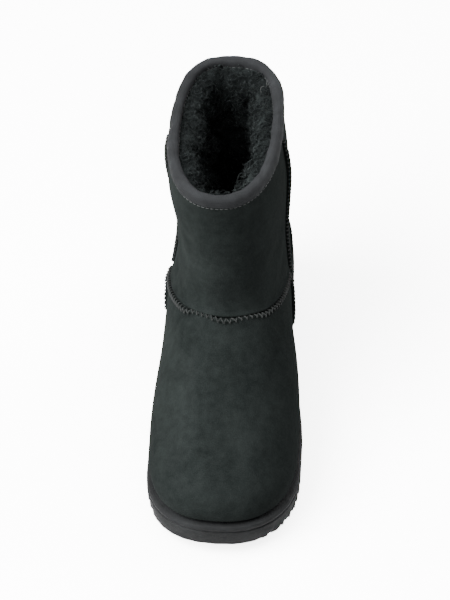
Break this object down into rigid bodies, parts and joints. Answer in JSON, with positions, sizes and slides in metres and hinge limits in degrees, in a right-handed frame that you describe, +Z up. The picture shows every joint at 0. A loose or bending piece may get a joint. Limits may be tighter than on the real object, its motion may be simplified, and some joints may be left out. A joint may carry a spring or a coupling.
{
  "type": "sheepskin ankle boot",
  "caption": "Short slip-on sheepskin boot for a right foot: hollow suede upper with overlocked seams, taped collar and heel counter on a moulded sole with a stepped side and grooved tread.",
  "frame": {"origin": "middle of the boot's box, on the floor it stands on", "axes": "+Z up, toe towards -Y, heel towards +Y, inner (medial) side towards +X"},
  "size_m": [0.0948, 0.2374, 0.1917],
  "materials": {
    "suede": "matt nap",
    "sole_foam": "matt moulded",
    "binding_tape": "matt woven",
    "seam_thread": "matt thread",
    "fleece": "curly wool"
  },
  "bodies": {
    "root": {"sole": "sole_foam", "insole": "fleece", "upper": "suede", "heel_counter": "suede", "vamp_seam": "seam_thread", "side_seam_lateral": "seam_thread", "side_seam_medial": "seam_thread", "collar_binding": "binding_tape"}
  },
  "joints": []
}
